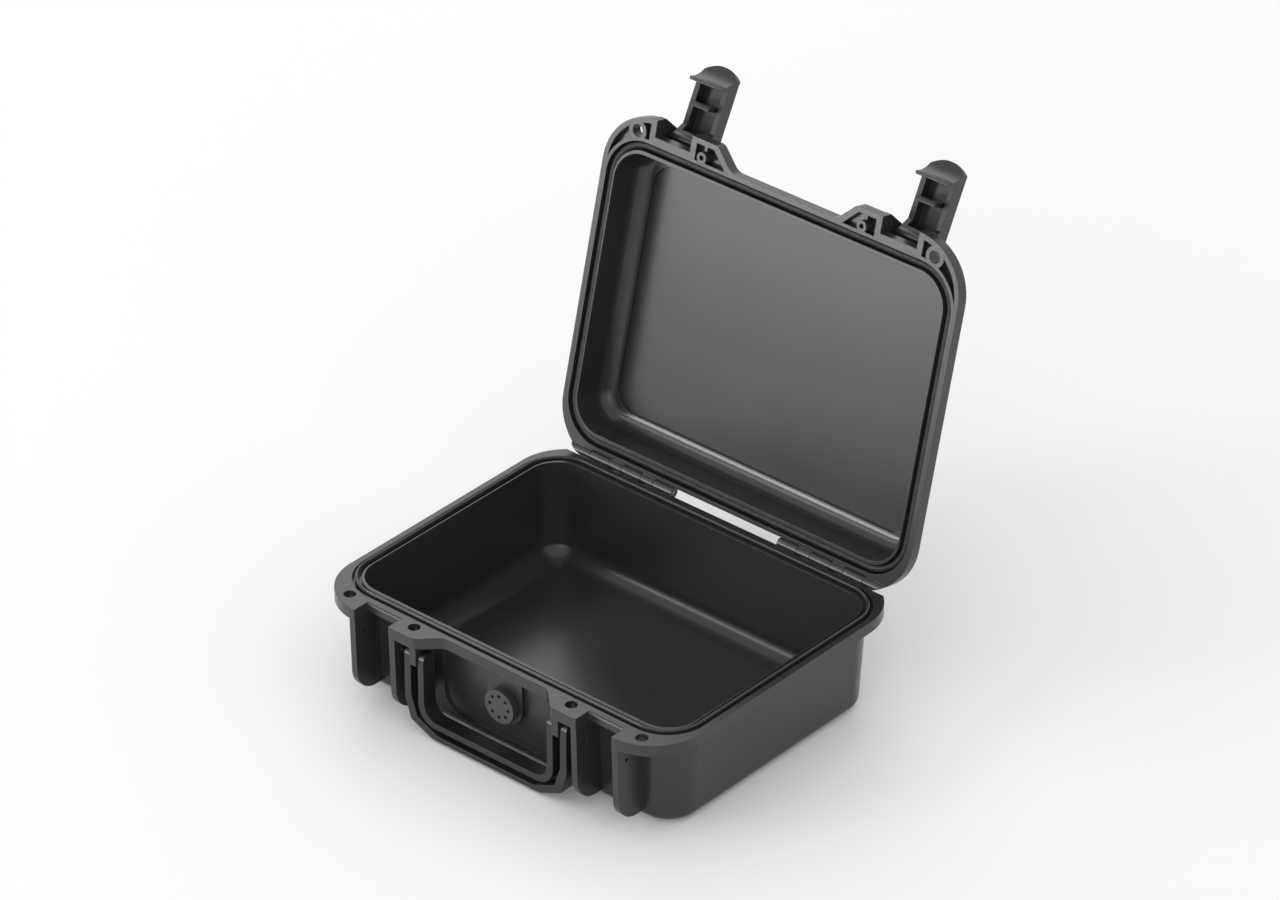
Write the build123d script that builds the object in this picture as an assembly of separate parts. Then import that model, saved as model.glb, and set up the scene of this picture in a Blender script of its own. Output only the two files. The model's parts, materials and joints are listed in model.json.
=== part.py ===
from build123d import *
import os
from math import atan2, cos, degrees, radians, sin, tan

os.makedirs("parts", exist_ok=True)

# A small protective case of moulded plastic, standing on the floor with its lid open.
# X is to the right, Y to the back, Z up. The origin is on the floor, under the middle of the seal.
# The lid and the latches are drawn closed and then turned to their open places.

# Inside space, at the rim
cavity_length = 248.8
cavity_depth = 179.2
cavity_corner = 20.0
base_height = 68.0
wall = 4.0
base_draft = 3.4

# Floor of the base: coved walls and a border that slopes to the flat middle, which is also the foot outside
floor_thickness = 3.5
foot_height = 2.0
border_rise = 4.7
border_width = 13.0
base_inner_fillet = 11.0
base_outer_fillet = 6.0

# Flange of both halves
flange_side = 10.6
flange_front = 23.8
flange_back = 11.6
flange_corner = 35.0
flange_corner_overhang = 7.2
base_flange_thickness = 7.4
lid_flange_thickness = 7.2
rim_gap = 0.2

# Middle of the front edge, between the two ears that carry the handle
front_middle_setback = 12.6
front_middle_half = 40.0
ear_corner = 5.0
ear_root_corner = 9.0

# Seal: a ridge on the base between two grooves, and a round cord in the lid's groove
seal_side = 3.8
seal_end = 5.2
seal_corner = 24.0
ridge_width = 2.0
ridge_height = 1.67
ridge_chamfer = 0.7
outer_groove_width = 1.8
outer_groove_depth = 3.0
inner_groove_width = 1.9
inner_groove_depth = 1.8
cord_diameter = 5.2
cord_side_clearance = 0.2
cord_ridge_clearance = 0.25

# Lid
lid_draft = 5.0
lid_height = 27.6
lid_outer_fillet = 13.0
lid_cavity_draft = 3.0
lid_cavity_height = 25.0
lid_cavity_fillet = 9.0
lid_panel_step = 2.5
lid_panel_rise = 2.9
lid_panel_margin = 1.4
lid_panel_round = 2.5
lid_band_width = 1.6
lid_band_height = 2.3
lid_open_angle = 104.0

# Latch bays, and the ribs and cheeks beside them
bay_center = 85.75
bay_width = 26.9
rib_thickness = 4.2
bay_setback = 10.5
lip_thickness = 5.5
lip_round = 1.5
rib_bottom = 7.9
rib_lean = 1.8
rib_toe_round = 16.0
cheek_height = 22.6
cheek_front_height = 8.0
cheek_slope_setback = 9.4

# Latches
latch_pivot_height = 15.4
latch_pivot_setback = 11.5
latch_side_clearance = 1.3
latch_barrel_radius = 3.4
latch_length = 48.0
latch_outer_offset = 14.3
latch_rim_offset = 5.7
latch_shoulder_drop = 5.4
latch_back_round = 7.5
latch_skin = 1.8
latch_side_wall = 3.5
latch_catch_width = 14.3
latch_catch_thickness = 3.0
latch_catch_hook = 2.7
latch_catch_clearance = 0.35
latch_catch_chamfer = 1.5
latch_lip_at = 35.5
latch_lip_thickness = 2.2
latch_lip_reach = 2.0
latch_lip_round = 0.8
latch_flip_angle = 103.5

# The latch's finger hood: a hollow scoop that runs across the latch, cut to an arch
hood_radius = 18.0
hood_crest_offset = 12.4
hood_front_sag = 3.0
hood_back_at = 40.5
hood_back_sag = 0.9
hood_rim_round = 0.6

# Padlock holes and locating pegs
padlock_hole_diameter = 7.5
padlock_inset_x = 22.3
padlock_inset_y = 10.8
padlock_boss_radius = 6.6
peg_beside_bay = 25.05
peg_inset_y = 9.6
peg_hole_diameter = 7.5
peg_clearance = 0.25
peg_length = 3.3
peg_core_diameter = 3.0
peg_rib = 2.0
pocket_depth = 4.6
pocket_edge = 3.3
pocket_land = 2.2

# Handle
handle_opening = 95.4
handle_inner_strip = 4.4
handle_channel = 5.7
handle_outer_strip = 4.8
handle_bar_inner_strip = 3.8
handle_bar_channel = 4.3
handle_bar_outer_strip = 3.4
handle_bottom = 2.0
handle_depth = 10.0
handle_setback = 2.7
handle_channel_depth = 7.5
handle_corner_round = 10.5
handle_corner_chamfer_low = (16.5, 7.2)
handle_corner_chamfer_high = (4.5, 13.7)
handle_top = 6.1
handle_top_round = 4.0
handle_pin_drop = 18.1
handle_pin_setback = 8.5
handle_pin_diameter = 2.4
handle_web_start = 9.0
lug_side_clearance = 0.4
lug_front_setback = 1.4
lug_below_pin = 3.9
lug_round = 3.6

# Cuts run this far past the faces that they open
overrun = 1.0

# Hinge: two rows of knuckles with an open middle, one steel pin through each row
hinge_setback = 2.3
hinge_rise = 0.9
knuckle_radius = 3.2
hinge_end_inset = 11.0
knuckle_pitch = 25.0
knuckle_count = 3
base_knuckle_length = 15.0
lid_end_knuckle_length = 18.0
knuckle_gap = 0.3
hinge_pocket_clearance = 0.5
hinge_middle_gap = 1.1
hinge_blind_end = 11.0
hinge_pin_diameter = 3.0
latch_pin_diameter = 3.0
pin_clearance = 0.05
pin_end_recess = 0.5

# Shallow recess behind the handle, and the pressure valve in it
recess_half_length = 49.0
recess_bottom = 9.2
recess_corner = 13.0
recess_depth = 1.4
valve_height = 36.6
valve_boss_half = 13.5
valve_cap_diameter = 22.0
valve_cap_wall = 1.4
valve_cap_front = 1.5
valve_projection = 5.0
valve_vent_count = 8
valve_vent_circle = 7.1
valve_vent_diameter = 2.3
valve_flange_thickness = 2.4
valve_clearance = 0.1
valve_shank_diameter = 12.0
valve_bore_diameter = 6.0
valve_membrane_thickness = 0.6
valve_washer_thickness = 1.8
valve_washer_width = 2.2
valve_washer_circle = 15.6
valve_nut_width = 17.0
valve_nut_sides = 6
valve_nut_thickness = 4.0
valve_pad_diameter = 23.0
valve_pad_proud = 0.2
valve_shank_beyond_nut = 1.5

# Places worked out from the sizes above
half_length = cavity_length / 2 + flange_side
front_y = -(cavity_depth / 2 + flange_front)
back_y = cavity_depth / 2 + flange_back
middle_front_y = front_y + front_middle_setback
bay_front_y = front_y + bay_setback
cavity_front_y = -cavity_depth / 2
wall_front_y = cavity_front_y - wall
seal_length = cavity_length + 2 * seal_side
seal_depth = cavity_depth + 2 * seal_end
lid_rim_z = base_height + rim_gap
flange_bottom_z = base_height - base_flange_thickness
hinge_y = back_y + hinge_setback
hinge_z = base_height + hinge_rise
hinge_axis = Axis((0, hinge_y, hinge_z), (1, 0, 0))
hinge_row_end = half_length - hinge_end_inset
hinge_bore_end = hinge_row_end - hinge_blind_end
knuckle_row_length = (knuckle_count - 1) * knuckle_pitch + base_knuckle_length + lid_end_knuckle_length
knuckle_start = hinge_row_end - knuckle_row_length
pocket_y = hinge_y - knuckle_radius - hinge_pocket_clearance
latch_y = front_y + latch_pivot_setback
latch_z = lid_rim_z + latch_pivot_height
padlock_x = half_length - padlock_inset_x
padlock_y = front_y + padlock_inset_y
peg_x = bay_center - peg_beside_bay
peg_y = front_y + peg_inset_y
handle_pin_y = front_y + handle_pin_setback
handle_pin_z = base_height - handle_pin_drop
handle_front_y = front_y + handle_setback
handle_back_y = handle_front_y + handle_depth
lug_inner_x = handle_opening / 2 + handle_inner_strip + lug_side_clearance
lug_thickness = handle_channel - 2 * lug_side_clearance
boss_face_y = wall_front_y

# The cord lies just above the ridge, and its groove is as deep as its top
cord_center_height = ridge_height - rim_gap + cord_ridge_clearance + cord_diameter / 2
cord_top_height = cord_center_height + cord_diameter / 2


def across(points):
    """face in the YZ plane through the given (y, z) points"""
    return make_face(Plane.YZ * Polyline(*points, close=True))


def outlined(plane, edges):
    """face inside joined lines and arcs that are drawn in a plane's own coordinates"""
    return make_face([plane * edge for edge in edges])


def plate(face, start, thickness):
    """a YZ face thickened along X from start"""
    return Pos(start, 0, 0) * extrude(face, thickness, dir=(1, 0, 0))


def rod(radius, start, end, y, z):
    """a cylinder along X"""
    return Pos((start + end) / 2, y, z) * Rot(0, 90, 0) * Cylinder(radius, end - start)


def post(radius, x, y, low, high):
    """a cylinder along Z"""
    return Pos(x, y, (low + high) / 2) * Cylinder(radius, high - low)


def stub(radius, y_front, y_back, x=0.0, z=valve_height):
    """a cylinder along Y, on the valve's axis unless moved"""
    return Pos(x, (y_front + y_back) / 2, z) * Rot(90, 0, 0) * Cylinder(radius, y_back - y_front)


def block(x0, x1, y0, y1, z0, z1):
    """a box between two corners"""
    return Pos((x0 + x1) / 2, (y0 + y1) / 2, (z0 + z1) / 2) * Box(x1 - x0, y1 - y0, z1 - z0)


def both_sides(shape):
    """a shape and its mirror image about the middle plane"""
    return shape + mirror(shape, Plane.YZ)


def tub(length, depth, corner, start, end, draft, end_round):
    """a rounded box that narrows by its draft from the start plane to the end plane"""
    body = extrude(RectangleRounded(length, depth, corner), abs(end - start), taper=draft)
    body = fillet(body.edges().group_by(Axis.Z)[-1], end_round)
    if end < start:
        body = Rot(180, 0, 0) * body
    return Pos(0, 0, start) * body


def seal_ring(outward, inward, low, high):
    """a band that follows the seal's line, from inward of it to outward of it"""
    outer = RectangleRounded(seal_length + 2 * outward, seal_depth + 2 * outward, seal_corner + outward)
    inner = RectangleRounded(seal_length - 2 * inward, seal_depth - 2 * inward, seal_corner - inward)
    return Pos(0, 0, low) * extrude(outer - inner, high - low)


def flange_plan():
    """outline that both flanges share: round corners, two ears and a stepped-back middle"""
    round_back_y = back_y + flange_corner_overhang
    middle_y = (front_y + round_back_y) / 2
    plan = Pos(0, middle_y) * RectangleRounded(2 * half_length, round_back_y - front_y, flange_corner)
    plan -= Pos(0, back_y + flange_corner) * Rectangle(2 * half_length, 2 * flange_corner)
    mouth_half = front_middle_half + front_middle_setback
    spare = flange_corner
    notch = make_face(Polyline(
        (-mouth_half - spare, front_y - spare),
        (-front_middle_half, middle_front_y),
        (front_middle_half, middle_front_y),
        (mouth_half + spare, front_y - spare),
        close=True,
    ))
    notch = fillet(notch.vertices().group_by(Axis.Y)[-1], ear_root_corner)
    plan -= notch
    tips = plan.vertices().group_by(Axis.Y)[0]
    tips = tips.filter_by_position(Axis.X, -mouth_half - overrun, mouth_half + overrun)
    plan = fillet(tips, ear_corner)
    for side in (-1, 1):
        plan -= Pos(side * bay_center, front_y) * Rectangle(bay_width, 2 * bay_setback)
    return plan


def rib_starts():
    """left ends of the four plates that stand beside the two latch bays"""
    starts = []
    for side in (-1, 1):
        starts.append(side * bay_center - bay_width / 2 - rib_thickness)
        starts.append(side * bay_center + bay_width / 2)
    return starts


def base_knuckle_spans():
    """X ranges of the base's knuckles on the right side"""
    starts = [knuckle_start + knuckle_pitch * k for k in range(knuckle_count)]
    return [(start, start + base_knuckle_length) for start in starts]


def lid_knuckle_spans():
    """X ranges of the lid's knuckles, which fill the gaps between the base's"""
    spans = []
    for k, (_, end) in enumerate(base_knuckle_spans()):
        length = knuckle_pitch - base_knuckle_length
        if k == knuckle_count - 1:
            length = lid_end_knuckle_length
        spans.append((end, end + length))
    return spans


def knuckle(span, arm_points):
    """a barrel on the hinge axis with the arm that joins it to its flange"""
    start = span[0] + knuckle_gap / 2
    end = span[1] - knuckle_gap / 2
    return rod(knuckle_radius, start, end, hinge_y, hinge_z) + plate(across(arm_points), start, end - start)


def rib():
    """tall plate below the base flange, with a round toe"""
    profile = across([
        (front_y, base_height),
        (front_y + rib_lean, rib_bottom),
        (cavity_front_y, rib_bottom),
        (cavity_front_y, base_height),
    ])
    toe = profile.vertices().group_by(Axis.Z)[0].sort_by(Axis.Y)[0]
    profile = fillet(toe, rib_toe_round)
    return extrude(profile, rib_thickness, dir=(1, 0, 0))


def lug():
    """plate below an ear that the handle's pin passes through"""
    profile = across([
        (front_y + lug_front_setback, base_height),
        (front_y + lug_front_setback, handle_pin_z - lug_below_pin),
        (cavity_front_y, handle_pin_z - lug_below_pin),
        (cavity_front_y, base_height),
    ])
    low_front = profile.vertices().sort_by(Axis.Z)[0:2].sort_by(Axis.Y)[0]
    profile = fillet(low_front, lug_round)
    return plate(profile, lug_inner_x, lug_thickness)


def front_recess():
    """slab sunk into the drafted front wall behind the handle"""
    lean = radians(base_draft)
    wall_plane = Plane(
        origin=(0, wall_front_y, base_height), x_dir=(1, 0, 0), z_dir=(0, -cos(lean), -sin(lean)))
    height = base_height - recess_bottom
    face = RectangleRounded(2 * recess_half_length, 2 * height, recess_corner)
    slab = extrude(wall_plane * face, recess_depth, both=True)
    return slab & block(-half_length, half_length, front_y, 0, 0, flange_bottom_z)


def valve_boss():
    """flat plate with a round foot that the valve seats on, from the flange down"""
    height = flange_bottom_z + overrun - valve_height
    face = Circle(valve_boss_half) + Pos(0, height / 2) * Rectangle(2 * valve_boss_half, height)
    return Pos(0, boss_face_y, valve_height) * Rot(90, 0, 0) * extrude(face, -wall)


def cavity_wall_y(height):
    """Y of the front wall's inside face at a height"""
    return -(cavity_depth / 2) + (base_height - height) * tan(radians(base_draft))


def base_cavity():
    """the space inside: drafted walls, then a sloping border down to the flat floor"""
    wall_height = base_height - floor_thickness - border_rise
    slope = degrees(atan2(border_width, border_rise))
    rim = RectangleRounded(cavity_length, cavity_depth, cavity_corner)
    walls = extrude(rim, wall_height, taper=base_draft)
    border = extrude(walls.faces().sort_by(Axis.Z)[-1], border_rise, taper=slope)
    space = walls + border
    seam = space.edges().group_by(Axis.Z)[2]
    return Pos(0, 0, base_height) * Rot(180, 0, 0) * fillet(seam, base_inner_fillet)


pad_face_y = cavity_wall_y(valve_height - valve_pad_diameter / 2) + valve_pad_proud


def base_shell():
    """the tub with its flange, ribs, lugs, knuckles and valve boss"""
    draft_at_foot = (base_height - foot_height) * tan(radians(base_draft))
    outside = tub(
        cavity_length + 2 * wall, cavity_depth + 2 * wall, cavity_corner + wall,
        base_height, foot_height, base_draft, base_outer_fillet)
    foot_inset = draft_at_foot + border_width
    foot = extrude(RectangleRounded(
        cavity_length - 2 * foot_inset + 2 * wall, cavity_depth - 2 * foot_inset + 2 * wall,
        cavity_corner - draft_at_foot), foot_height + floor_thickness / 2)
    outside -= front_recess()
    body = outside + foot
    body += Pos(0, 0, flange_bottom_z) * extrude(flange_plan(), base_flange_thickness)
    for start in rib_starts():
        body += Pos(start, 0, 0) * rib()
    body += both_sides(lug())
    body += valve_boss()

    # Inside, with the flat pad that the valve's nut seats on
    body -= base_cavity()
    body += stub(valve_pad_diameter / 2, cavity_wall_y(valve_height) - wall / 2, pad_face_y)
    body -= stub(valve_shank_diameter / 2 + valve_clearance, boss_face_y - wall, pad_face_y + wall)

    # Rim: land, outer groove, ridge, inner groove and lip
    half_ridge = ridge_width / 2
    outer_floor = base_height - outer_groove_depth
    inner_floor = base_height - inner_groove_depth
    ridge = seal_ring(half_ridge, half_ridge, inner_floor, base_height + ridge_height)
    body -= seal_ring(half_ridge + outer_groove_width, -half_ridge, outer_floor, base_height)
    body -= seal_ring(-half_ridge, half_ridge + inner_groove_width, inner_floor, base_height)
    body += chamfer(ridge.edges().group_by(Axis.Z)[-1], ridge_chamfer)

    # Latch bays: the flange is thinner here, and the catches hook below it
    for side in (-1, 1):
        x0 = side * bay_center - bay_width / 2
        x1 = x0 + bay_width
        body -= block(
            x0, x1, front_y, wall_front_y - lip_round,
            flange_bottom_z - overrun, base_height - lip_thickness)
    lips = body.edges().filter_by(Axis.X)
    lips = lips.filter_by_position(Axis.Y, bay_front_y, bay_front_y)
    lips = lips.filter_by_position(Axis.Z, base_height, base_height)
    body = fillet(lips, lip_round)

    # Holes
    low = flange_bottom_z - overrun
    high = base_height + overrun
    for side in (-1, 1):
        body -= post(padlock_hole_diameter / 2, side * padlock_x, padlock_y, low, high)
        body -= post(peg_hole_diameter / 2, side * peg_x, peg_y, flange_bottom_z, high)
    reach = bay_center + bay_width
    body -= rod(handle_pin_diameter / 2 + pin_clearance, -reach, reach, handle_pin_y, handle_pin_z)

    # Hinge
    for start, end in lid_knuckle_spans():
        body -= both_sides(block(
            start - knuckle_gap / 2, end + knuckle_gap / 2, pocket_y, hinge_y + flange_corner, low, high))
    arm = [
        (pocket_y, flange_bottom_z),
        (back_y, flange_bottom_z),
        (hinge_y, hinge_z - knuckle_radius),
        (hinge_y, base_height),
        (pocket_y, base_height),
    ]
    for span in base_knuckle_spans():
        body += both_sides(knuckle(span, arm))
    bore = hinge_pin_diameter / 2 + pin_clearance
    body -= both_sides(rod(bore, knuckle_start - overrun, hinge_bore_end, hinge_y, hinge_z))
    return body


def cheek():
    """plate on the lid that holds one end of a latch pin"""
    top_z = lid_rim_z + cheek_height
    profile = across([
        (front_y, lid_rim_z),
        (front_y, lid_rim_z + cheek_front_height),
        (front_y + cheek_slope_setback, top_z),
        (wall_front_y + wall / 2, top_z),
        (wall_front_y + wall / 2, lid_rim_z),
    ])
    crown = profile.vertices().group_by(Axis.Z)[-1].sort_by(Axis.Y)[0]
    profile = fillet(crown, latch_barrel_radius)
    return extrude(profile, rib_thickness, dir=(1, 0, 0))


def corner_pocket():
    """recess beside the padlock boss: between the flange's round corner and the seal's"""
    flange_center = (half_length - flange_corner, front_y + flange_corner)
    seal_center = (seal_length / 2 - seal_corner, -seal_depth / 2 + seal_corner)
    seal_keep = seal_corner + ridge_width / 2 + outer_groove_width + pocket_land
    area = Pos(*flange_center) * Circle(flange_corner - pocket_edge)
    area -= Pos(*seal_center) * Circle(seal_keep)
    area -= Pos(padlock_x, padlock_y) * Circle(padlock_boss_radius)
    left = bay_center + bay_width / 2 + rib_thickness
    area &= Pos(left + flange_corner, front_y) * Rectangle(2 * flange_corner, 2 * flange_corner)
    return Pos(0, 0, lid_rim_z) * extrude(area, pocket_depth)


def ear_pocket():
    """recess in the lid's ear, crossed by the rib that carries the locating peg"""
    back = -seal_depth / 2 - ridge_width / 2 - outer_groove_width - pocket_land
    front = front_y + pocket_edge
    right = bay_center - bay_width / 2 - rib_thickness
    slant = front_middle_half + pocket_edge / sin(radians(45))
    area = make_face(Polyline(
        (right, front), (right, back), (slant, back), (slant + back - front, front), close=True))
    area -= Pos(peg_x, peg_y) * Circle(peg_hole_diameter / 2 - peg_clearance)
    area -= Pos(peg_x, peg_y) * Rectangle(peg_rib, 2 * flange_front)
    return Pos(0, 0, lid_rim_z) * extrude(area, pocket_depth)


def beyond_back_corner():
    """what lies outside the round back corner's line, where the last knuckle is cut off"""
    x = half_length - flange_corner
    y = back_y + flange_corner_overhang - flange_corner
    low = hinge_z - knuckle_radius - overrun
    high = lid_rim_z + lid_height
    corner = block(x, half_length + overrun, y, hinge_y + flange_corner, low, high)
    return corner - post(flange_corner, x, y, low - overrun, high + overrun)


def lid_shell_closed():
    """the lid in its closed place"""
    top_z = lid_rim_z + lid_height
    body = tub(
        cavity_length + 2 * wall, cavity_depth + 2 * wall, cavity_corner + wall,
        lid_rim_z, top_z, lid_draft, lid_outer_fillet)
    body += Pos(0, 0, lid_rim_z) * extrude(flange_plan(), lid_flange_thickness)
    cord_half = cord_diameter / 2 + cord_side_clearance
    band_top = lid_rim_z + lid_flange_thickness + lid_band_height
    body += seal_ring(cord_half + lid_band_width, 0, lid_rim_z, band_top)
    for start in rib_starts():
        body += Pos(start, 0, 0) * cheek()

    # Raised panel outside, over the recessed panel inside
    cavity_top = lid_rim_z + lid_cavity_height
    crease_inset = lid_cavity_height * tan(radians(lid_cavity_draft)) + lid_cavity_fillet
    panel_corner = cavity_corner - crease_inset / 2
    panel = RectangleRounded(
        cavity_length - 2 * crease_inset, cavity_depth - 2 * crease_inset, panel_corner)
    grown = RectangleRounded(
        cavity_length - 2 * crease_inset + 2 * lid_panel_margin,
        cavity_depth - 2 * crease_inset + 2 * lid_panel_margin, panel_corner + lid_panel_margin)
    raised = Pos(0, 0, cavity_top) * extrude(grown, top_z - cavity_top + lid_panel_rise)
    body += fillet(raised.edges().group_by(Axis.Z)[-1], lid_panel_round)
    body -= tub(
        cavity_length, cavity_depth, cavity_corner,
        lid_rim_z, cavity_top, lid_cavity_draft, lid_cavity_fillet)
    body -= Pos(0, 0, cavity_top - overrun) * extrude(panel, lid_panel_step + overrun)

    # Face: seal groove, pockets, padlock holes and locating pegs
    body -= seal_ring(cord_half, cord_half, lid_rim_z, lid_rim_z + cord_top_height)
    body -= both_sides(corner_pocket())
    body -= both_sides(ear_pocket())
    peg_end = lid_rim_z - peg_length
    pocket_top = lid_rim_z + pocket_depth
    peg_radius = peg_hole_diameter / 2 - peg_clearance
    for side in (-1, 1):
        body -= post(padlock_hole_diameter / 2, side * padlock_x, padlock_y, lid_rim_z - overrun, band_top)
        body += post(peg_radius, side * peg_x, peg_y, peg_end, pocket_top + overrun)
        body -= post(peg_core_diameter / 2, side * peg_x, peg_y, peg_end - overrun, pocket_top)

    # Latch pin holes
    reach = bay_width / 2 + rib_thickness + overrun
    bore = latch_pin_diameter / 2 + pin_clearance
    for side in (-1, 1):
        body -= rod(bore, side * bay_center - reach, side * bay_center + reach, latch_y, latch_z)

    # Hinge
    low = lid_rim_z - overrun
    behind = hinge_y + flange_corner
    body -= block(-knuckle_start, knuckle_start, back_y - hinge_middle_gap, behind, low, band_top)
    body -= both_sides(block(
        knuckle_start - knuckle_gap, hinge_row_end - knuckle_gap / 2,
        pocket_y, behind, low, band_top + overrun))
    arm = [
        (pocket_y, lid_rim_z),
        (hinge_y, lid_rim_z),
        (hinge_y, hinge_z + knuckle_radius),
        (pocket_y, lid_rim_z + lid_flange_thickness),
    ]
    for span in lid_knuckle_spans():
        body += both_sides(knuckle(span, arm))
    body -= both_sides(beyond_back_corner())
    bore = hinge_pin_diameter / 2 + pin_clearance
    body -= both_sides(rod(bore, knuckle_start - overrun, hinge_bore_end, hinge_y, hinge_z))
    return body


def lid_gasket_closed():
    """round rubber cord in the lid's groove"""
    plan = RectangleRounded(seal_length, seal_depth, seal_corner)
    path = (Pos(0, 0, lid_rim_z + cord_center_height) * plan).wires()[0]
    section = Plane(origin=path @ 0, z_dir=path % 0) * Circle(cord_diameter / 2)
    return sweep(section, path)


def hood():
    """finger lip and hood at a latch's tip: a hollow scoop that runs across, cut to an arch"""
    width = bay_width - 2 * latch_side_clearance
    lip_z = -latch_lip_at
    tip = (latch_lip_reach, lip_z - latch_lip_thickness)
    crest = (-hood_crest_offset, -latch_length)
    back = (-latch_outer_offset, -hood_back_at)
    body = plate(outlined(Plane.YZ, [
        Line((latch_lip_reach, lip_z), tip),
        SagittaArc(tip, crest, -hood_front_sag),
        SagittaArc(crest, back, hood_back_sag),
        Line(back, (-latch_outer_offset, lip_z)),
        Line((-latch_outer_offset, lip_z), (latch_lip_reach, lip_z)),
    ]), -width / 2, width)
    body = fillet(body.edges().filter_by(Axis.X).group_by(Axis.Y)[-1], latch_lip_round)
    arch = Rot(90, 0, 0) * Cylinder(hood_radius, 2 * (latch_outer_offset + overrun))
    body &= Pos(0, 0, hood_radius - latch_length) * arch
    return fillet(body.edges().filter_by(GeomType.BSPLINE), hood_rim_round)


def latch_at_pivot():
    """a latch hanging from its pivot, which lies at the origin; its back faces the case"""
    width = bay_width - 2 * latch_side_clearance
    outer = -latch_outer_offset
    rim = -latch_rim_offset
    lip_z = -latch_lip_at
    shoulder = latch_barrel_radius + latch_shoulder_drop
    lever = across([
        (outer, lip_z),
        (outer, latch_barrel_radius),
        (0, latch_barrel_radius),
        (0, -latch_barrel_radius),
        (rim, -shoulder),
        (rim, lip_z),
    ])
    lever = fillet(lever.vertices().group_by(Axis.Z)[-1].sort_by(Axis.Y)[0], latch_back_round)
    body = plate(lever, -width / 2, width)
    body += rod(latch_barrel_radius, -width / 2, width / 2, 0, 0)

    # Open channel between the side walls, with the catch standing in it
    inner = width / 2 - latch_side_wall
    body -= block(
        -inner, inner, outer + latch_skin, latch_lip_reach,
        lip_z - overrun, -latch_barrel_radius - latch_skin)
    catch_top = -(latch_pivot_height + rim_gap + lip_thickness + latch_catch_clearance)
    catch_reach = bay_setback - latch_pivot_setback + latch_catch_hook
    catch = block(
        -latch_catch_width / 2, latch_catch_width / 2, outer + latch_skin / 2, catch_reach,
        catch_top - latch_catch_thickness, catch_top)
    nose = catch.edges().filter_by(Axis.X).group_by(Axis.Y)[-1].sort_by(Axis.Z)[0]
    body += chamfer(nose, latch_catch_chamfer)
    body -= rod(latch_pin_diameter / 2 + pin_clearance, -width, width, 0, 0)

    return body + hood()


def handle():
    """U-shaped carry handle with a deep channel in its front"""
    section = handle_inner_strip + handle_channel + handle_outer_strip
    outer_x = handle_opening / 2 + section
    top = handle_pin_z + handle_top
    bottom = handle_bottom
    bar = handle_bar_inner_strip + handle_bar_channel + handle_bar_outer_strip

    def outline(shift, bar_shift):
        """U outline moved inward from the outside edge"""
        x = outer_x - shift
        z = bottom + bar_shift
        run, rise = handle_corner_chamfer_low
        run_high, rise_high = handle_corner_chamfer_high
        right = [
            (x - run - run_high, z),
            (x - run_high, z + rise),
            (x, z + rise + rise_high),
            (x, top + overrun),
        ]
        left = [(-px, pz) for px, pz in reversed(right)]
        return make_face(Plane.XZ * Polyline(*left, *right, close=True))

    def slab(face, y0, y1):
        """XZ face between two Y planes"""
        return Pos(0, y1, 0) * extrude(face, y1 - y0)

    def opening(grow, bar_grow):
        """the finger opening, or the same grown outward by a strip"""
        low = bottom + bar - bar_grow
        high = top + 2 * section
        half = handle_opening / 2 + grow
        face = RectangleRounded(2 * half, high - low, handle_corner_round + grow / 2)
        return Plane.XZ * Pos(0, (low + high) / 2) * face

    body = slab(outline(0, 0), handle_front_y, handle_back_y)
    before = handle_front_y - overrun
    behind = handle_back_y + overrun
    body -= slab(opening(0, 0), before, behind)
    channel_floor_y = handle_front_y + handle_channel_depth
    channel = slab(outline(handle_outer_strip, handle_bar_outer_strip), before, channel_floor_y)
    channel -= slab(opening(handle_inner_strip, handle_bar_inner_strip), before, behind)
    body -= channel

    # The channel is open right through beside the pin, where the lugs stand
    body -= both_sides(block(
        outer_x - handle_outer_strip - handle_channel, outer_x - handle_outer_strip,
        before, behind, handle_pin_z - handle_web_start, top + overrun))
    arm_profile = across([
        (handle_front_y, 0), (handle_front_y, top), (handle_back_y, top), (handle_back_y, 0)])
    arm_profile = fillet(arm_profile.vertices().group_by(Axis.Z)[-1], handle_top_round)
    body &= plate(arm_profile, -outer_x, 2 * outer_x)
    reach = outer_x + overrun
    body -= rod(handle_pin_diameter / 2 + pin_clearance, -reach, reach, handle_pin_y, handle_pin_z)
    return body


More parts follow.
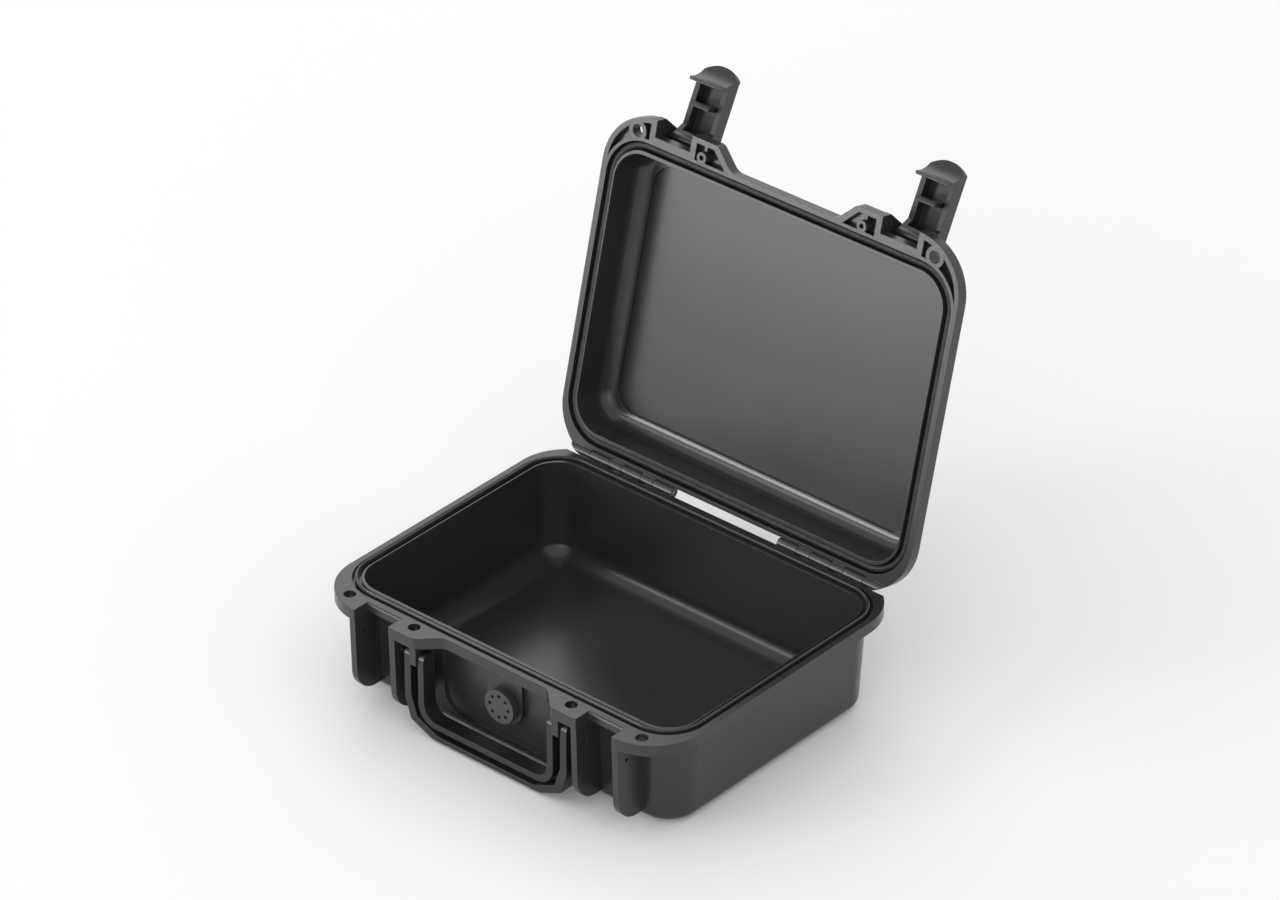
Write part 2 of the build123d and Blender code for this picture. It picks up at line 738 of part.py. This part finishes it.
def valve_parts():
    """the pressure valve's five pieces, on an axis along Y"""
    cap_front = boss_face_y - valve_projection
    cap_back = boss_face_y - valve_clearance
    cap_radius = valve_cap_diameter / 2
    cap = stub(cap_radius, cap_front, cap_back)
    cap -= stub(cap_radius - valve_cap_wall, cap_front + valve_cap_front, cap_back + overrun)
    for k in range(valve_vent_count):
        angle = radians(360 * k / valve_vent_count)
        cap -= stub(
            valve_vent_diameter / 2, cap_front - overrun, cap_front + valve_cap_front + overrun,
            valve_vent_circle * sin(angle), valve_height + valve_vent_circle * cos(angle))

    flange_back = boss_face_y - 2 * valve_clearance
    flange_front_y = flange_back - valve_flange_thickness
    shank_end = pad_face_y + valve_nut_thickness + valve_shank_beyond_nut
    body = stub(cap_radius - valve_cap_wall - valve_clearance, flange_front_y, flange_back)
    body += stub(valve_shank_diameter / 2, flange_back - valve_clearance, shank_end)
    body -= stub(valve_bore_diameter / 2, flange_front_y - overrun, shank_end + overrun)
    washer_outer = (valve_washer_circle + valve_washer_width) / 2
    washer_inner = (valve_washer_circle - valve_washer_width) / 2
    washer = stub(washer_outer, boss_face_y - valve_washer_thickness, boss_face_y)
    washer -= stub(washer_inner, boss_face_y - valve_washer_thickness - overrun, boss_face_y + overrun)
    body -= washer
    membrane = stub(
        valve_shank_diameter / 2, flange_front_y - valve_membrane_thickness, flange_front_y)
    nut_face = RegularPolygon(valve_nut_width / 2, valve_nut_sides, major_radius=False)
    nut = Pos(0, pad_face_y, valve_height) * Rot(90, 0, 0) * extrude(nut_face, -valve_nut_thickness)
    nut_back = pad_face_y + valve_nut_thickness
    nut -= stub(valve_shank_diameter / 2 + pin_clearance, pad_face_y - overrun, nut_back + overrun)
    return {
        "valve_cap": cap,
        "valve_body": body,
        "valve_washer": washer,
        "valve_membrane": membrane,
        "valve_nut": nut,
    }


def opened(shape):
    """turn a piece of the lid from its closed place to its open place"""
    return shape.rotate(hinge_axis, -lid_open_angle)


nodes = {
    "base_shell": base_shell(),
    "lid_shell": opened(lid_shell_closed()),
    "lid_gasket": opened(lid_gasket_closed()),
    "carry_handle": handle(),
}
latch = latch_at_pivot().rotate(Axis.X, -latch_flip_angle)
for name, side in (("left", -1), ("right", 1)):
    nodes[name + "_latch"] = opened(Pos(side * bay_center, latch_y, latch_z) * latch)
    half = bay_width / 2 + rib_thickness - pin_end_recess
    ends = (side * bay_center - half, side * bay_center + half)
    nodes[name + "_latch_pin"] = opened(rod(latch_pin_diameter / 2, *ends, latch_y, latch_z))
    ends = sorted((side * handle_opening / 2, side * (bay_center - bay_width / 2 - pin_end_recess)))
    nodes[name + "_handle_pin"] = rod(handle_pin_diameter / 2, *ends, handle_pin_y, handle_pin_z)
    ends = sorted((side * (knuckle_start + pin_end_recess), side * (hinge_bore_end - pin_end_recess)))
    nodes[name + "_hinge_pin"] = rod(hinge_pin_diameter / 2, *ends, hinge_y, hinge_z)
nodes.update(valve_parts())

for name, shape in nodes.items():
    export_step(shape, "parts/" + name + ".step")
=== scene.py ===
import json
from math import pi, radians

import bmesh
import bpy
import numpy as np
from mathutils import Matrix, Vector


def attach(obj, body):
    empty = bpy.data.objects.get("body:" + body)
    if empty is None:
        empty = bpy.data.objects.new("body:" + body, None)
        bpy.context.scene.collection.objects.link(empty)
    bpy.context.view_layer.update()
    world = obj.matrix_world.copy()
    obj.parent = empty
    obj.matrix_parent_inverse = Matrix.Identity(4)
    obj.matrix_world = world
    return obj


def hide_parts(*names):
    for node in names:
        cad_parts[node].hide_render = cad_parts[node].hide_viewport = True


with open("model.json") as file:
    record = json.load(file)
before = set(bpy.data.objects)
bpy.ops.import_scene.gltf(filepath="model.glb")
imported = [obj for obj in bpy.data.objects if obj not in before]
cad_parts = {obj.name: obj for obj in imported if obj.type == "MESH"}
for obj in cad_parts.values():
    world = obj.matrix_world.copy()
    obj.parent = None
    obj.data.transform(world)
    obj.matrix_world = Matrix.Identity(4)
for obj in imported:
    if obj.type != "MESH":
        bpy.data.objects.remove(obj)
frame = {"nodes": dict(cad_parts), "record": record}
nodes = frame["nodes"]
node_body = {n: b for b, members in frame["record"]["behaviour"]["bodies"].items() for n in members}
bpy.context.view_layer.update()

MM = 0.001

# The photograph's view
CAMERA_AZIMUTH = radians(41.03)
CAMERA_ELEVATION = radians(32.0)
CAMERA_LENS_MM = 193.35
CAMERA_SENSOR_MM = 36.0
CAMERA_REACH = 50
CAMERA_PLACE = (2214.3 * MM, -2519.3 * MM, 2260.6 * MM)

# Moulded surfaces
EDGE_ROUND = 0.35 * MM
SMOOTH_ANGLE = radians(28)
WELD_DISTANCE = 0.002 * MM

# Plastic: how many features of each noise fit in a metre, and how deep the grain is
HAZE_SCALE = 14
GLOSS_SCALE = 22
GRAIN_SCALE = 1400
GRAIN_STRENGTH = 0.06
GRAIN_DEPTH = 0.012 * MM

# Floor, and the two levels of the white surroundings: what lights the piece and what is seen
FLOOR_HALF = 6.0
FLOOR_WHITE = 0.92
FLOOR_GLOW = 0.03
AMBIENT = 0.88
BACKDROP = 0.95

# Soft lamps: place and target in metres, size in metres, power in watts
SOFTBOXES = {
    "back_left_softbox": ((-1.53, 1.74, 1.66), (0, 0, 0.1), 1.6, 8.5),
    "low_front_softbox": ((-1.45, -2.15, 0.34), (0, 0, 0.2), 0.66, 19),
    "key_softbox": ((-1.42, -1.62, 1.5), (0, 0, 0.1), 0.55, 4),
    "front_softbox": ((0.9, -2.3, 0.9), (0, 0, 0.1), 1.2, 6),
}


# Materials

def new_material(name):
    """an empty node material with its output, and the shader that feeds it"""
    material = bpy.data.materials.new(name)
    material.use_nodes = True
    tree = material.node_tree
    shader = tree.nodes["Principled BSDF"]
    return material, tree, shader


def noise(tree, scale, detail=3.0, rough=0.5, stretch=None):
    """noise on the piece's own coordinates, features about 1/scale metres wide"""
    coords = tree.nodes.new("ShaderNodeTexCoord")
    source = coords.outputs["Object"]
    if stretch is not None:
        mapping = tree.nodes.new("ShaderNodeMapping")
        mapping.inputs["Scale"].default_value = stretch
        tree.links.new(source, mapping.inputs["Vector"])
        source = mapping.outputs["Vector"]
    texture = tree.nodes.new("ShaderNodeTexNoise")
    texture.inputs["Scale"].default_value = scale
    texture.inputs["Detail"].default_value = detail
    texture.inputs["Roughness"].default_value = rough
    tree.links.new(source, texture.inputs["Vector"])
    return texture.outputs["Fac"]


def ramp(tree, source, low, high, low_color, high_color):
    """colour that runs from low_color to high_color as source goes from low to high"""
    node = tree.nodes.new("ShaderNodeValToRGB")
    node.color_ramp.elements[0].position = low
    node.color_ramp.elements[1].position = high
    node.color_ramp.elements[0].color = (*low_color, 1)
    node.color_ramp.elements[1].color = (*high_color, 1)
    tree.links.new(source, node.inputs["Fac"])
    return node.outputs["Color"]


def spread(tree, source, low, high):
    """value that runs from low to high over the middle of a noise"""
    node = tree.nodes.new("ShaderNodeMapRange")
    node.inputs["From Min"].default_value = 0.3
    node.inputs["From Max"].default_value = 0.7
    node.inputs["To Min"].default_value = low
    node.inputs["To Max"].default_value = high
    tree.links.new(source, node.inputs["Value"])
    return node.outputs["Result"]


def grain_bump(tree, source, strength, depth, edge_round=0.0):
    """fine relief, over edges that look rounded by edge_round"""
    bump = tree.nodes.new("ShaderNodeBump")
    bump.inputs["Strength"].default_value = strength
    bump.inputs["Distance"].default_value = depth
    tree.links.new(source, bump.inputs["Height"])
    if edge_round:
        edges = tree.nodes.new("ShaderNodeBevel")
        edges.samples = 6
        edges.inputs["Radius"].default_value = edge_round
        tree.links.new(edges.outputs["Normal"], bump.inputs["Normal"])
    return bump.outputs["Normal"]


def dress(tree, shader, color, gloss, relief):
    """feed a shader its colour, its roughness and its relief"""
    tree.links.new(color, shader.inputs["Base Color"])
    tree.links.new(gloss, shader.inputs["Roughness"])
    tree.links.new(relief, shader.inputs["Normal"])


def moulded_plastic(name, dark, pale, gloss_low, gloss_high):
    """black injection-moulded plastic: satin, with a fine spark-eroded grain and faint haze"""
    material, tree, shader = new_material(name)
    haze = noise(tree, HAZE_SCALE, detail=2)
    sheen = noise(tree, GLOSS_SCALE, detail=2)
    grain = noise(tree, GRAIN_SCALE, detail=1)
    dress(
        tree, shader,
        ramp(tree, haze, 0.3, 0.7, dark, pale),
        spread(tree, sheen, gloss_low, gloss_high),
        grain_bump(tree, grain, GRAIN_STRENGTH, GRAIN_DEPTH, EDGE_ROUND))
    return material


def cord_rubber(name):
    """smooth extruded rubber, a little dusty"""
    material, tree, shader = new_material(name)
    dust = noise(tree, 240, detail=6)
    dress(
        tree, shader,
        ramp(tree, dust, 0.4, 0.75, (0.012, 0.012, 0.012), (0.03, 0.03, 0.031)),
        spread(tree, noise(tree, 500), 0.5, 0.62),
        grain_bump(tree, noise(tree, 3000), 0.1, 0.02 * MM))
    return material


def drawn_steel(name):
    """dark drawn wire with fine lines along X"""
    material, tree, shader = new_material(name)
    lines = noise(tree, 900, detail=4, stretch=(0.04, 1, 1))
    dress(
        tree, shader,
        ramp(tree, lines, 0.3, 0.7, (0.16, 0.16, 0.17), (0.28, 0.28, 0.29)),
        spread(tree, lines, 0.24, 0.38),
        grain_bump(tree, lines, 0.15, 0.02 * MM))
    shader.inputs["Metallic"].default_value = 1.0
    return material


def vent_film(name):
    """white porous film"""
    material, tree, shader = new_material(name)
    pores = noise(tree, 4000, detail=5)
    dress(
        tree, shader,
        ramp(tree, pores, 0.3, 0.6, (0.55, 0.55, 0.54), (0.82, 0.82, 0.81)),
        spread(tree, pores, 0.7, 0.9),
        grain_bump(tree, pores, 0.3, 0.05 * MM))
    return material


shell_black = moulded_plastic(
    "shell_black", (0.025, 0.025, 0.026), (0.029, 0.029, 0.030), 0.24, 0.26)
latch_black = moulded_plastic(
    "latch_black", (0.019, 0.019, 0.020), (0.022, 0.022, 0.023), 0.27, 0.3)
handle_black = moulded_plastic(
    "handle_black", (0.014, 0.014, 0.014), (0.017, 0.017, 0.018), 0.3, 0.33)
valve_black = moulded_plastic(
    "valve_black", (0.042, 0.042, 0.043), (0.05, 0.05, 0.051), 0.3, 0.33)
gasket_rubber = cord_rubber("gasket_rubber")
pin_steel = drawn_steel("pin_steel")
membrane_film = vent_film("membrane_film")


# Smooth skins of the moulded pieces

def skin(node, material):
    """the node's own surface with its triangles joined, so that round stretches shade as curves"""
    mesh = nodes[node].data.copy()
    mesh.name = node + "_skin"
    work = bmesh.new()
    work.from_mesh(mesh)
    bmesh.ops.remove_doubles(work, verts=work.verts, dist=WELD_DISTANCE)
    for face in work.faces:
        face.smooth = True
    for edge in work.edges:
        edge.smooth = len(edge.link_faces) == 2 and edge.calc_face_angle(0.0) < SMOOTH_ANGLE
    work.to_mesh(mesh)
    work.free()
    mesh.materials.clear()
    mesh.materials.append(material)
    piece = bpy.data.objects.new(node + "_skin", mesh)
    bpy.context.scene.collection.objects.link(piece)
    weighted = piece.modifiers.new("even_shading", "WEIGHTED_NORMAL")
    weighted.mode = "FACE_AREA"
    weighted.weight = 100
    weighted.keep_sharp = True
    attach(piece, node_body[node])
    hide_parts(node)
    return piece


skin("base_shell", shell_black)
skin("lid_shell", shell_black)
skin("carry_handle", handle_black)
for side in ("left", "right"):
    skin(side + "_latch", latch_black)
    for pin in ("latch_pin", "handle_pin", "hinge_pin"):
        skin(side + "_" + pin, pin_steel)
skin("lid_gasket", gasket_rubber)
skin("valve_washer", gasket_rubber)
skin("valve_cap", valve_black)
skin("valve_body", valve_black)
skin("valve_nut", valve_black)
skin("valve_membrane", membrane_film)


# Floor, backdrop, light and camera

def plain_sheet(name, points, color, glow):
    """one flat sheet of the stage; the camera sees it a little paler than its light makes it"""
    mesh = bpy.data.meshes.new(name)
    mesh.from_pydata(points, [], [list(range(len(points)))])
    material, tree, shader = new_material(name)
    shader.inputs["Base Color"].default_value = (*color, 1)
    shader.inputs["Roughness"].default_value = 0.9
    shader.inputs["Emission Color"].default_value = (1, 1, 1, 1)
    path = tree.nodes.new("ShaderNodeLightPath")
    level = tree.nodes.new("ShaderNodeMath")
    level.operation = "MULTIPLY"
    level.inputs[1].default_value = glow
    tree.links.new(path.outputs["Is Camera Ray"], level.inputs[0])
    tree.links.new(level.outputs["Value"], shader.inputs["Emission Strength"])
    mesh.materials.append(material)
    sheet = bpy.data.objects.new(name, mesh)
    bpy.context.scene.collection.objects.link(sheet)
    return sheet


plain_sheet("floor", [
    (-FLOOR_HALF, -FLOOR_HALF, 0), (FLOOR_HALF, -FLOOR_HALF, 0),
    (FLOOR_HALF, FLOOR_HALF, 0), (-FLOOR_HALF, FLOOR_HALF, 0)], (FLOOR_WHITE,) * 3, FLOOR_GLOW)

world = bpy.data.worlds.new("studio")
bpy.context.scene.world = world
world.use_nodes = True
studio = world.node_tree
background = studio.nodes["Background"]
background.inputs["Strength"].default_value = AMBIENT
backdrop = studio.nodes.new("ShaderNodeBackground")
backdrop.inputs["Strength"].default_value = BACKDROP

# The camera, reflections and clear pieces see the backdrop; all else gets the ambient light
rays = studio.nodes.new("ShaderNodeLightPath")
seen = rays.outputs["Is Camera Ray"]
for kind in ("Is Glossy Ray", "Is Transmission Ray"):
    either = studio.nodes.new("ShaderNodeMath")
    either.operation = "MAXIMUM"
    studio.links.new(seen, either.inputs[0])
    studio.links.new(rays.outputs[kind], either.inputs[1])
    seen = either.outputs["Value"]
choose = studio.nodes.new("ShaderNodeMixShader")
studio.links.new(seen, choose.inputs["Fac"])
studio.links.new(background.outputs["Background"], choose.inputs[1])
studio.links.new(backdrop.outputs["Background"], choose.inputs[2])
studio.links.new(choose.outputs["Shader"], studio.nodes["World Output"].inputs["Surface"])
for sky in (background, backdrop):
    sky.inputs["Color"].default_value = (1, 1, 1, 1)


def softbox(name, place, target, size, power):
    """a square soft lamp at place that faces target"""
    lamp = bpy.data.lights.new(name, "AREA")
    lamp.shape = "SQUARE"
    lamp.size = size
    lamp.energy = power
    box = bpy.data.objects.new(name, lamp)
    aim = np.subtract(target, place)
    box.location = place
    box.rotation_euler = Vector(aim).to_track_quat("-Z", "Y").to_euler()
    bpy.context.scene.collection.objects.link(box)


for name, setting in SOFTBOXES.items():
    softbox(name, *setting)

camera = bpy.data.objects.new("camera", bpy.data.cameras.new("camera"))
camera.data.lens = CAMERA_LENS_MM
camera.data.sensor_width = CAMERA_SENSOR_MM
camera.data.clip_end = CAMERA_REACH
camera.location = CAMERA_PLACE
camera.rotation_euler = (pi / 2 - CAMERA_ELEVATION, 0, CAMERA_AZIMUTH)
bpy.context.scene.collection.objects.link(camera)
bpy.context.scene.camera = camera
bpy.context.scene.view_settings.view_transform = "Standard"
